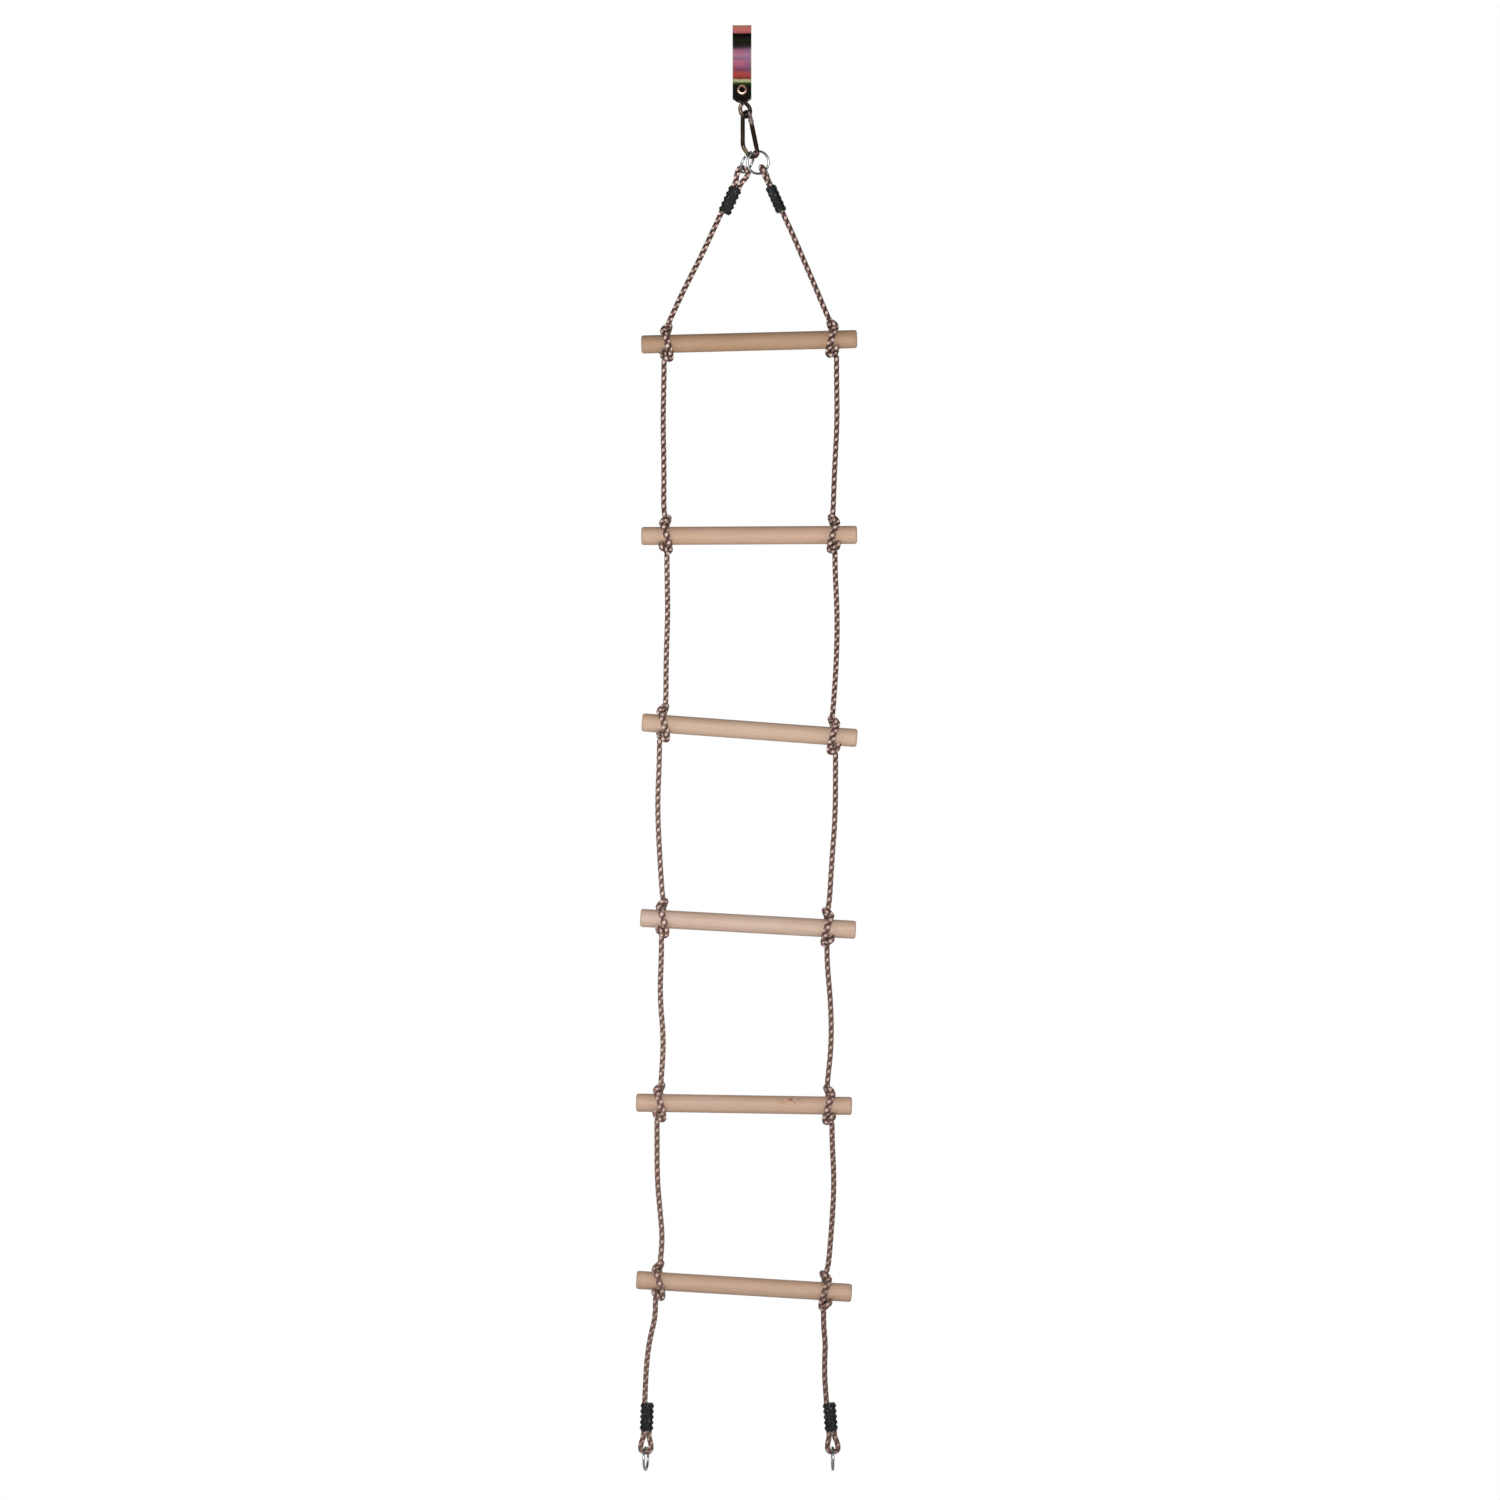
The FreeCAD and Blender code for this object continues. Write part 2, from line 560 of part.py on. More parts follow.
def main():
    os.makedirs("parts", exist_ok=True)
    back = LUG_GAP / 2
    save("clamp_band", clamp_band())
    save("clamp_bolt", clamp_bolt())
    save("clamp_washer", tube_on_bolt(WASHER_R, back + BAND_T, WASHER_T))
    save("clamp_nut", clamp_nut())
    save("pivot_bush", tube_on_bolt(BUSH_R, RUNNING - back, LUG_GAP - 2 * RUNNING))
    save("eye_link", eye_link())
    save("hook_body", hook_body())
    save("hook_rivet", hook_rivet())
    save("hook_gate", hook_gate())
    save("gate_plunger", gate_plunger())
    save("gate_spring", gate_spring())
    eye = rope("eye", eye_route())
    halves = [sleeve_half(side, eye) for side in (-1, 1)]
    for side in ("left", "right"):
        save("top_ring_" + side, ring(*TOP_RINGS[side]))
        save_eye("top", side, eye, halves, TOP_EYES[side])
        save_eye("bottom", side, eye, halves, BOTTOM_EYES[side])
        save("bottom_ring_" + side, bottom_ring(side))
        save("tail_rope_" + side, free_rope("tail_rope_" + side))
    for number in range(1, len(RUNGS) + 1):
        bar = rung(number)
        save("rung_" + str(number), bar)
        for side in ("left", "right"):
            form = knot(number, side, bar)
            save("knot_" + str(number) + "_" + side, form)
            name = rope_name(number, side)
            save(name, free_rope(name, form))


main()
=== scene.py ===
import math

import bpy
import numpy as np
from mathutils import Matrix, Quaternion, Vector


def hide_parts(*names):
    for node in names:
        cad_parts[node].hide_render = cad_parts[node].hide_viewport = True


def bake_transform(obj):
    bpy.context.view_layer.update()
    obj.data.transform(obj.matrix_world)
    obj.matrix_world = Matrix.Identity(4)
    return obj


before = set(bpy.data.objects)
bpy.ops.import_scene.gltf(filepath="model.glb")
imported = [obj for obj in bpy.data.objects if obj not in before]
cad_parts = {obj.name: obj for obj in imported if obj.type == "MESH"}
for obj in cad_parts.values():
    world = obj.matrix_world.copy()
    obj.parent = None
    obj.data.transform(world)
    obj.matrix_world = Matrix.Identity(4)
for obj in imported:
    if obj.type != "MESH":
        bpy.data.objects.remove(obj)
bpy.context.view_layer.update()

# A rope ladder of six beech rungs, hung by a snap hook from a band clamp.
# Lengths are in metres, and what part.py gives in millimetres is multiplied by MM.
MM = 0.001
SIDES = ("left", "right")
SIGN = {"left": 1.0, "right": -1.0}
RUNG_COUNT = 6
RUNG_END_SLICE = 6.0

# Rope: its radius, and the braid of four strands each way that lies on a core.
BRAID_LAY = 29.0 * MM
BRAID_MIDDLE_R = 3.12 * MM
BRAID_WAVE = 0.72 * MM
STRAND_W = 5.3 * MM
STRAND_T = 2.4 * MM
STRAND_SIDES = 10
CORE_R = 2.8 * MM
CORE_SIDES = 8
ROPE_STEP = 0.9 * MM
PALE, MID, DARK = 0.0, 0.5, 1.0
TONES = {1: (DARK, MID, DARK, MID), -1: (PALE, DARK, PALE, DARK)}
# Lower ropes are more even, and some are darker than others: bridle, bays 2 to 6 and tail.
CONTRAST_LOSS = 0.075
DARKER = (0.01, 0.0, -0.05, -0.05, -0.03, 0.01, 0.06)
DARKER_SIDE = {"left": 0.0, "right": 0.08}
# Where a rope is pulled round the front of a rung it is wider and flatter.
PRESS_WIDER, PRESS_FLATTER = 1.16, 0.84
PRESS_FROM, PRESS_FULL = 25.5 * MM, 22.0 * MM
PRESS_FRONT, PRESS_FRONT_FULL = 2.0 * MM, 12.0 * MM

# The ropes' routes, as in part.py, from the top down. Each begins at the point that it bends about,
# and a tail's goes on into its eye.
ROUTES = {
    "1_left": (
        (-49.4, 2.2, -312.5), (-75.8, 0.9, -369.5), (-106.6, -1.8, -429.0),
        (-134.0, -1.0, -489.0),
    ),
    "1_right": (
        (86.0, 0.4, -312.3), (110.4, -1.0, -369.5), (135.0, 0.4, -426.0),
        (158.0, -1.0, -482.0),
    ),
    "2_left": (
        (-141.8, -1.0, -590.0), (-143.8, 0.2, -668.0), (-141.6, -2.2, -752.0),
        (-142.7, -1.0, -837.0),
    ),
    "2_right": (
        (171.8, -1.0, -583.0), (173.0, -2.4, -668.0), (168.3, 0.2, -752.0),
        (165.4, -1.0, -836.0),
    ),
    "3_left": (
        (-136.4, -1.0, -939.0), (-134.7, 0.4, -1014.0), (-138.0, -2.0, -1098.0),
        (-138.2, -1.0, -1179.0),
    ),
    "3_right": (
        (169.0, -1.0, -938.0), (173.4, -2.0, -1022.0), (171.3, 0.2, -1113.0),
        (164.5, -1.0, -1202.0),
    ),
    "4_left": (
        (-150.0, -1.0, -1281.0), (-153.9, -2.4, -1363.0), (-150.2, 0.0, -1450.0),
        (-144.5, -1.0, -1534.0),
    ),
    "4_right": (
        (170.0, -1.0, -1304.0), (169.6, 0.4, -1385.0), (163.0, -2.0, -1469.0),
        (158.2, -1.0, -1551.0),
    ),
    "5_left": (
        (-146.4, -1.0, -1636.0), (-149.6, 0.2, -1712.0), (-141.9, -2.2, -1793.0),
        (-147.3, -1.0, -1868.0),
    ),
    "5_right": (
        (154.5, -1.0, -1653.0), (161.5, -2.0, -1726.0), (162.6, 0.0, -1801.0),
        (154.5, -1.0, -1873.0),
    ),
    "6_left": (
        (-154.5, -1.0, -1970.0), (-154.4, -2.2, -2040.0), (-149.4, -0.2, -2099.0), (-144.6, -1.6, -2148.0),
        (-148.2, -1.0, -2192.0),
    ),
    "6_right": (
        (163.6, -1.0, -1975.0), (167.8, 0.2, -2051.0), (163.0, -2.2, -2131.0),
        (156.3, -1.0, -2211.0),
    ),
    "tail_left": (
        (-157.3, -1.0, -2294.0), (-165.9, -2.0, -2327.0), (-171.6, -0.4, -2361.0), (-174.3, -1.6, -2394.0),
    ),
    "tail_right": (
        (148.2, -1.0, -2313.0), (151.6, -2.0, -2342.0), (150.3, 0.2, -2371.0), (150.1, -1.6, -2400.0),
    ),
}

# A rope eye, across and along: the standing leg from its lead, the bight and the leg with the cut end.
EYE = (
    (-4.8, -25.0), (-4.8, 50.0), (-4.9, 63.0), (-9.6, 75.0), (-9.0, 89.0),
    (9.0, 89.0), (9.6, 75.0), (4.9, 63.0), (4.8, 50.0), (4.8, 12.0),
)
# Each eye: the middle of its sleeve's rope end, the direction towards the eye, and its turn about that.
TOP_EYES = {
    "left": ((-32.4, 2.2, -287.3), (0.421, 0.0, 0.907), 0.0),
    "right": ((71.9, -4.0, -285.7), (-0.407, 0.0, 0.914), -105.0),
}
BOTTOM_EYES = {
    "left": ((-172.0, -1.0, -2451.0), (-0.035, 0.0, -1.0), 180.0),
    "right": ((158.5, -1.0, -2451.0), (0.08, 0.0, -1.0), 180.0),
}

# A left knot, in millimetres from the rung's axis: across, away from the climber, up. The rope comes
# down behind the top wrap and the rung, crosses its own way out, climbs over the front of the rung,
# crosses itself again above it and goes down behind it. A right knot is its mirror image.
KNOT = (
    (3.5, 1.5, 34.0), (1.0, 11.5, 22.0), (-3.8, 22.4, 6.0), (-5.0, 19.8, -11.5), (-5.4, 11.5, -22.0),
    (-5.8, -6.0, -23.5), (-6.6, -17.0, -15.0), (-5.8, -21.0, -17.0), (-2.0, -19.5, -24.5), (6.0, -14.5, -31.0),
    (10.4, -12.0, -25.5), (5.6, -19.4, -10.0), (2.6, -21.2, 0.5), (0.4, -19.2, 9.5), (-3.2, -14.8, 17.5),
    (-7.2, -8.5, 22.5), (-3.4, -8.0, 28.5), (3.4, -7.0, 33.0), (7.2, 1.5, 34.0), (6.0, 15.0, 28.0),
    (1.5, 23.5, 19.0), (5.0, 24.0, 4.0), (4.5, 19.8, -12.0), (1.5, 10.5, -22.5),
)
# Its way out below the rung, straight down: away from the climber, up.
KNOT_EXIT = ((0.6, -31.0), (0.0, -35.0), (0.0, -41.0))

# Yarn: its colours from pale to dark, the fibres seen across a strand and their slant, in radians a metre.
YARN = ((0.0, (0.80, 0.62, 0.535)), (0.5, (0.27, 0.152, 0.118)), (1.0, (0.060, 0.021, 0.016)))
FIBRE_WAVES, FIBRE_SLANT = 14.0, 900.0

# Wood tints, from the top rung down.
WOOD = (
    (0.42, 0.265, 0.165), (0.53, 0.355, 0.25), (0.54, 0.38, 0.275), (0.55, 0.40, 0.31),
    (0.51, 0.345, 0.25), (0.48, 0.32, 0.225),
)
# Its growth rings, and its noises as waves a metre along the rung and across it.
RING_STEP = 2.6 * MM
WOBBLE, STREAKS, FIBRES, FLECKS, CLOUDS = (
    (7, 60, 60), (14, 620, 620), (110, 3200, 3200), (330, 1900, 1900), (9, 26, 26),
)
# A rung's patch of reddish figure: where its middle is, and its reach.
FIGURE = {5: (0.088, -0.016, -1.900)}
FIGURE_REACH = (0.030, 0.06, 0.012)
BOLT_Z = -66.0

# Metal colours by height, in millimetres. The band's plating runs through the colours of a thin film, and its
# near-black zones, on the lug below -53 and from 4 to 31 above, are painted dark reflection.
BAND = (
    (-90.0, (0.006, 0.005, 0.004)), (-58.0, (0.007, 0.006, 0.004)), (-53.0, (0.014, 0.028, 0.007)),
    (-51.0, (0.62, 0.68, 0.36)), (-48.6, (0.58, 0.60, 0.30)), (-47.4, (0.20, 0.025, 0.035)),
    (-42.0, (0.47, 0.060, 0.044)), (-37.5, (0.38, 0.048, 0.050)), (-34.0, (0.16, 0.026, 0.070)),
    (-29.0, (0.29, 0.064, 0.125)), (-20.0, (0.28, 0.056, 0.110)), (-15.0, (0.085, 0.030, 0.070)),
    (-10.0, (0.19, 0.050, 0.100)), (0.0, (0.21, 0.052, 0.105)), (4.0, (0.035, 0.020, 0.028)),
    (12.0, (0.008, 0.010, 0.006)), (31.0, (0.005, 0.003, 0.003)), (34.0, (0.54, 0.125, 0.155)),
    (42.0, (0.64, 0.17, 0.145)), (50.0, (0.68, 0.25, 0.14)), (53.0, (0.36, 0.30, 0.13)),
)
# How metallic the band looks by height, and how far its colour turns to violet on the right.
BAND_METAL = (
    (-90.0, 1.0), (-53.0, 1.0), (-51.0, 0.2), (3.0, 0.3), (8.0, 1.0), (31.0, 1.0), (34.0, 0.1), (53.0, 0.1),
)
BAND_TURN = ((-90.0, 0.0), (-44.0, 0.0), (-34.0, 1.0), (2.0, 1.0), (6.0, 0.0), (53.0, 0.0))
# Where another colour comes in across the band: the first place, the last and the colour.
BAND_EDGE = (14.8, 16.6, (0.30, 0.22, 0.065))
BAND_VIOLET = (-4.0, 17.0, (0.12, 0.060, 0.14))
COPPER = ((-110.0, (0.62, 0.36, 0.25)), (-60.0, (0.78, 0.50, 0.38)))
DARK_PLATE = ((-200.0, (0.05, 0.035, 0.028)), (0.0, (0.09, 0.07, 0.055)))
ZINC = ((-2600.0, (0.42, 0.44, 0.45)), (0.0, (0.42, 0.44, 0.45)))
LINK = ((-114.0, (0.10, 0.08, 0.05)), (-103.0, (0.16, 0.115, 0.085)), (-94.0, (0.58, 0.40, 0.35)))
# The link's right wire is darkened with painted shade.
LINK_RIGHT_PAINTED_SHADE = ((-114.0, (0.045, 0.026, 0.020)), (-80.0, (0.06, 0.035, 0.027)))
# The hook's colours by height are painted reflections: a gold highlight on the bend and near-black dark
# reflection on the legs.
HOOK = (
    (-200.0, (0.70, 0.54, 0.32)), (-178.0, (0.66, 0.52, 0.31)), (-164.0, (0.055, 0.042, 0.022)),
    (-128.0, (0.026, 0.019, 0.012)), (-112.0, (0.040, 0.030, 0.022)), (-100.0, (0.05, 0.036, 0.028)),
)
# On the hook's right: a dark reddish-brown nose, then a painted pinkish glare at the hinge end.
HOOK_RIGHT_PAINTED_GLARE = (
    (-200.0, (0.085, 0.048, 0.038)), (-131.0, (0.085, 0.048, 0.038)), (-122.0, (0.62, 0.50, 0.46)),
    (-112.0, (0.40, 0.29, 0.26)), (-100.0, (0.20, 0.14, 0.12)),
)
# Where the left colours give way to the right ones, in millimetres.
LINK_TURN = (-1.0, 5.0, LINK_RIGHT_PAINTED_SHADE)
HOOK_TURN = (9.0, 15.0, HOOK_RIGHT_PAINTED_GLARE)
# The gate: dark below, with a painted pinkish glare on its top by the hinge.
GATE_PAINTED_GLARE = (
    (-190.0, (0.050, 0.034, 0.022)), (-131.0, (0.045, 0.030, 0.022)), (-126.0, (0.50, 0.39, 0.36)),
    (-116.0, (0.72, 0.60, 0.56)),
)

# The uneven border between colours: its waves a metre, and its sway in millimetres.
GRAIN, SWAY = 160.0, 1.5
BAND_GRAIN, BAND_SWAY = 200.0, 2.2
# The socket in the bolt's head, from its axis out in millimetres, and the near-black painted shade that fills
# it.
SOCKET_PAINTED_SHADE = (5.3, 5.9, (0.006, 0.004, 0.003))
# Moulded plastic, from clean to dusty, and light grey specks that are partly scuff marks and partly painted
# glints on the ribs.
PLASTIC = ((0.35, (0.005, 0.005, 0.006)), (0.62, (0.010, 0.011, 0.011)), (0.8, (0.025, 0.025, 0.025)))
SCUFF_AND_GLINT_GREY = (0.17, 0.17, 0.17)

# Camera: its distance, the width of its view and the middle of it. Floor, and light in watts.
CAMERA_FAR = 8.0
CAMERA_SENSOR = 36.0
VIEW_WIDTH = 2.727
VIEW_MIDDLE = (0.0145, -1.264)
FLOOR_Z = -2.70
FLOOR_REACH = 30.0
FLOOR_GREY = 0.8
AMBIENT = 0.18
SOFTBOXES = (
    ("key", (-0.5, -4.2, -1.15), (2.6, 2.4), 140.0),
    ("left_strip", (-3.2, -1.6, -1.0), (0.6, 2.6), 22.0),
    ("right_strip", (3.2, -1.6, -1.0), (0.6, 2.6), 22.0),
    ("behind", (0.6, 4.0, -1.0), (2.0, 2.0), 30.0),
)
SPOT_AT, SPOT_AIM = (-0.3, -1.5, 1.8), (0, 0, 0.03)
SPOT_WATTS, SPOT_CONE, SPOT_BLEND, SPOT_RADIUS = 160.0, math.radians(7.5), 0.5, 0.2


# Materials


def new_material(name, metallic=0.0, roughness=None):
    """A material, its nodes, its links and its principled shader."""
    material = bpy.data.materials.new(name)
    material.use_nodes = True
    shader = material.node_tree.nodes["Principled BSDF"]
    shader.inputs["Metallic"].default_value = metallic
    if roughness is not None:
        shader.inputs["Roughness"].default_value = roughness
    return material, material.node_tree.nodes, material.node_tree.links, shader


def math_node(nodes, links, operation, *values):
    """A maths node. Each value is a number or an output to link."""
    node = nodes.new("ShaderNodeMath")
    node.operation = operation
    for socket, value in zip(node.inputs, values):
        if isinstance(value, (int, float)):
            socket.default_value = value
        else:
            links.new(value, socket)
    return node.outputs[0]


def ramp(nodes, links, factor, *stops):
    """A colour ramp. Each stop is a position and a linear colour."""
    node = nodes.new("ShaderNodeValToRGB")
    elements = node.color_ramp.elements
    while len(elements) < len(stops):
        elements.new(0.5)
    for element, (position, colour) in zip(elements, stops):
        element.position = position
        element.color = (*colour, 1.0)
    links.new(factor, node.inputs["Fac"])
    return node.outputs["Color"]


def mixed(nodes, links, blend, factor, first, second):
    """A colour mix. Factor, first and second are values or outputs."""
    node = nodes.new("ShaderNodeMix")
    node.data_type = "RGBA"
    node.blend_type = blend
    for socket, value in ((node.inputs[0], factor), (node.inputs[6], first), (node.inputs[7], second)):
        if isinstance(value, (int, float)):
            socket.default_value = value
        elif isinstance(value, tuple):
            socket.default_value = (*value, 1.0)
        else:
            links.new(value, socket)
    return node.outputs[2]


def place(nodes, links, scale=(1, 1, 1), offset=(0, 0, 0), source="Object"):
    """Coordinates for a texture: the piece's own, moved and stretched."""
    coordinates = nodes.new("ShaderNodeTexCoord")
    mapping = nodes.new("ShaderNodeMapping")
    mapping.inputs["Scale"].default_value = scale
    mapping.inputs["Location"].default_value = offset
    links.new(coordinates.outputs[source], mapping.inputs["Vector"])
    return mapping.outputs["Vector"]


def noise(nodes, links, vector, scale, detail=4.0, roughness=0.55, distortion=0.0):
    """A noise texture's value."""
    node = nodes.new("ShaderNodeTexNoise")
    node.inputs["Scale"].default_value = scale
    node.inputs["Detail"].default_value = detail
    node.inputs["Roughness"].default_value = roughness
    node.inputs["Distortion"].default_value = distortion
    links.new(vector, node.inputs["Vector"])
    return node.outputs["Fac"]


def bump(nodes, links, height, strength, distance, shader, before=None):
    """Bump for a shader. Returns the node's normal, for another layer."""
    node = nodes.new("ShaderNodeBump")
    node.inputs["Strength"].default_value = strength
    node.inputs["Distance"].default_value = distance
    links.new(height, node.inputs["Height"])
    if before is not None:
        links.new(before, node.inputs["Normal"])
    links.new(node.outputs["Normal"], shader.inputs["Normal"])
    return node.outputs["Normal"]


def spread(nodes, links, value, low, high):
    """A value from 0 to 1, spread between two others."""
    node = nodes.new("ShaderNodeMapRange")
    node.inputs["To Min"].default_value = low
    node.inputs["To Max"].default_value = high
    links.new(value, node.inputs["Value"])
    return node.outputs["Result"]


def rope_material():
    """Braided rope: pale, taupe and dark brown yarns, each strand of fine twisted fibres."""
    material, nodes, links, shader = new_material("rope_yarn")
    shader.inputs["Sheen Weight"].default_value = 0.06
    shader.inputs["Sheen Roughness"].default_value = 0.5
    tone = nodes.new("ShaderNodeAttribute")
    tone.attribute_name = "tone"
    lie = nodes.new("ShaderNodeAttribute")
    lie.attribute_name = "lie"
    axes = nodes.new("ShaderNodeSeparateXYZ")
    links.new(lie.outputs["Vector"], axes.inputs[0])
    along, around = axes.outputs[0], axes.outputs[1]
    colour = ramp(nodes, links, tone.outputs["Fac"], *YARN)
    # Fibres run at a slant round each strand, and half of their waves are on its face.
    slant = math_node(nodes, links, "MULTIPLY", along, FIBRE_SLANT)
    turns = math_node(nodes, links, "MULTIPLY_ADD", around, FIBRE_WAVES, slant)
    wave = math_node(nodes, links, "SINE", turns)
    fuzz = noise(nodes, links, place(nodes, links), 2600.0, 3.0)
    patch = noise(nodes, links, place(nodes, links), 95.0, 3.0)
    shade = math_node(nodes, links, "MULTIPLY_ADD", wave, 0.10, spread(nodes, links, fuzz, 0.62, 1.30))
    shade = math_node(nodes, links, "MULTIPLY", shade, spread(nodes, links, patch, 0.78, 1.18))
    links.new(mixed(nodes, links, "MULTIPLY", 1.0, colour, shade), shader.inputs["Base Color"])
    links.new(spread(nodes, links, fuzz, 0.62, 0.9), shader.inputs["Roughness"])
    first = bump(nodes, links, wave, 0.7, 0.12 * MM, shader)
    bump(nodes, links, fuzz, 0.5, 0.15 * MM, shader, first)
    return material


def wood_material(number, tint):
    """Turned beech: long streaks, short ray flecks and growth rings about the rung's own axis."""
    material, nodes, links, shader = new_material(f"beech_{number}")
    axis_at, axis = rung_axis(number)
    lean = math.atan2(axis.z, axis.x)
    turned = nodes.new("ShaderNodeMapping")
    coordinates = nodes.new("ShaderNodeTexCoord")
    links.new(coordinates.outputs["Object"], turned.inputs["Vector"])
    turned.inputs["Rotation"].default_value = (0.0, lean, 0.0)
    shift = Quaternion((0, 1, 0), lean) @ axis_at
    turned.inputs["Location"].default_value = tuple(-shift)
    own = turned.outputs["Vector"]

    def stretched(scale, offset=0.0):
        node = nodes.new("ShaderNodeMapping")
        node.inputs["Scale"].default_value = scale
        node.inputs["Location"].default_value = (offset + 3.1 * number, offset, 1.7 * number)
        links.new(own, node.inputs["Vector"])
        return node.outputs["Vector"]

    wobble = noise(nodes, links, stretched(WOBBLE), 1.0, 2.0)
    middle = nodes.new("ShaderNodeMapping")
    aside, lower = 0.004 * math.cos(2.4 * number) - 0.02, 0.006 * math.sin(2.4 * number)
    middle.inputs["Location"].default_value = (0.0, aside, lower)
    middle.inputs["Scale"].default_value = (0.0, 1.0, 1.0)
    links.new(own, middle.inputs["Vector"])
    from_pith = nodes.new("ShaderNodeVectorMath")
    from_pith.operation = "LENGTH"
    links.new(middle.outputs["Vector"], from_pith.inputs[0])
    turns = math_node(nodes, links, "MULTIPLY", from_pith.outputs["Value"], math.tau / RING_STEP)
    rings = math_node(nodes, links, "SINE", math_node(nodes, links, "MULTIPLY_ADD", wobble, 9.0, turns))
    streaks = noise(nodes, links, stretched(STREAKS), 1.0, 5.0, 0.6)
    fibres = noise(nodes, links, stretched(FIBRES), 1.0, 3.0, 0.6)
    flecks = noise(nodes, links, stretched(FLECKS, 5.0), 1.0, 1.0)
    clouds = noise(nodes, links, stretched(CLOUDS, 9.0), 1.0, 2.0)
    warm = mixed(
        nodes, links, "MIX", clouds, tuple(c * f for c, f in zip(tint, (0.93, 0.86, 0.76))),
        tuple(c * f for c, f in zip(tint, (1.07, 1.13, 1.24))),
    )
    shade = math_node(nodes, links, "MULTIPLY_ADD", rings, 0.028, spread(nodes, links, streaks, 0.90, 1.10))
    shade = math_node(nodes, links, "MULTIPLY", shade, spread(nodes, links, fibres, 0.96, 1.04))
    colour = mixed(nodes, links, "MULTIPLY", 1.0, warm, shade)
    fleck = nodes.new("ShaderNodeMapRange")
    fleck.inputs["From Min"].default_value = 0.60
    fleck.inputs["From Max"].default_value = 0.72
    fleck.inputs["To Max"].default_value = 0.34
    links.new(flecks, fleck.inputs["Value"])
    brown = tuple(c * f for c, f in zip(tint, (0.62, 0.50, 0.42)))
    colour = mixed(nodes, links, "MIX", fleck.outputs["Result"], colour, brown)
    if number in FIGURE:
        colour = knotty(nodes, links, colour, tint, FIGURE[number])
    links.new(colour, shader.inputs["Base Color"])
    links.new(spread(nodes, links, streaks, 0.50, 0.68), shader.inputs["Roughness"])
    shader.inputs["Specular IOR Level"].default_value = 0.35
    first = bump(nodes, links, streaks, 0.35, 0.08 * MM, shader)
    bump(nodes, links, fibres, 0.25, 0.04 * MM, shader, first)
    return material


def knotty(nodes, links, colour, tint, at):
    """A patch of small reddish figure in the wood about a point."""
    near = nodes.new("ShaderNodeMapping")
    near.inputs["Scale"].default_value = tuple(1 / r for r in FIGURE_REACH)
    near.inputs["Location"].default_value = tuple(-a / r for a, r in zip(at, FIGURE_REACH))
    coordinates = nodes.new("ShaderNodeTexCoord")
    links.new(coordinates.outputs["Object"], near.inputs["Vector"])
    ball = nodes.new("ShaderNodeTexGradient")
    ball.gradient_type = "SPHERICAL"
    links.new(near.outputs["Vector"], ball.inputs["Vector"])
    spots = noise(nodes, links, place(nodes, links, (190, 190, 330)), 1.0, 2.0, 0.5, 0.8)
    spot = nodes.new("ShaderNodeMapRange")
    spot.inputs["From Min"].default_value = 0.48
    spot.inputs["From Max"].default_value = 0.66
    links.new(spots, spot.inputs["Value"])
    share = math_node(nodes, links, "MULTIPLY", spot.outputs["Result"], ball.outputs["Fac"])
    share = math_node(nodes, links, "MULTIPLY", share, 1.3)
    reddish = tuple(c * f for c, f in zip(tint, (0.60, 0.42, 0.36)))
    return mixed(nodes, links, "MIX", share, colour, reddish)


def height_share(nodes, links, stops, grain, sway):
    """How high a place is between the first stop and the last, with an uneven border, and its x."""
    axes = nodes.new("ShaderNodeSeparateXYZ")
    links.new(place(nodes, links), axes.inputs[0])
    uneven = noise(nodes, links, place(nodes, links, (grain, grain, 2 * grain)), 1.0, 1.0)
    height = math_node(nodes, links, "MULTIPLY_ADD", uneven, sway * MM, axes.outputs[2])
    low, high = stops[0][0], stops[-1][0]
    scale = 1 / ((high - low) * MM)
    share = math_node(nodes, links, "MULTIPLY_ADD", height, scale, -(low + sway / 2) * MM * scale)
    return share, axes.outputs[0]


def zones(nodes, links, share, stops):
    """A colour ramp over stops in millimetres."""
    low, high = stops[0][0], stops[-1][0]
    return ramp(nodes, links, share, *(((z - low) / (high - low), colour) for z, colour in stops))


def across(nodes, links, colour, x, first, last, other, most=1.0):
    """Another colour that comes in between two places along x, in millimetres."""
    share = nodes.new("ShaderNodeMapRange")
    share.interpolation_type = "SMOOTHSTEP"
    share.inputs["From Min"].default_value = first * MM
    share.inputs["From Max"].default_value = last * MM
    share.inputs["To Max"].default_value = most
    links.new(x, share.inputs["Value"])
    return mixed(nodes, links, "MIX", share.outputs["Result"], colour, other)


def finish_metal(nodes, links, shader, colour, mottle, rough, cloud_scale=420.0):
    """Clouded plating, fine scratches and an uneven sheen for a metal of this colour."""
    clouds = noise(nodes, links, place(nodes, links), cloud_scale, 4.0, 0.6)
    colour = mixed(nodes, links, "MULTIPLY", 1.0, colour, spread(nodes, links, clouds, *mottle))
    links.new(colour, shader.inputs["Base Color"])
    links.new(spread(nodes, links, clouds, *rough), shader.inputs["Roughness"])
    scratches = noise(nodes, links, place(nodes, links, (900, 2600, 5200)), 1.0, 3.0)
    first = bump(nodes, links, scratches, 0.25, 0.03 * MM, shader)
    bump(nodes, links, clouds, 0.25, 0.08 * MM, shader, first)


def metal_material(name, stops, metallic=0.9, rough=(0.22, 0.42), mottle=(0.8, 1.2), right=None):
    """Plated metal, whose colour changes with height and, if wanted, has other stops to the right."""
    material, nodes, links, shader = new_material(name, metallic)
    share, x = height_share(nodes, links, stops, GRAIN, SWAY)
    colour = zones(nodes, links, share, stops)
    if right:
        first, last, other = right
        share, _ = height_share(nodes, links, other, GRAIN, SWAY)
        colour = across(nodes, links, colour, x, first, last, zones(nodes, links, share, other))
    finish_metal(nodes, links, shader, colour, mottle, rough)
    return material


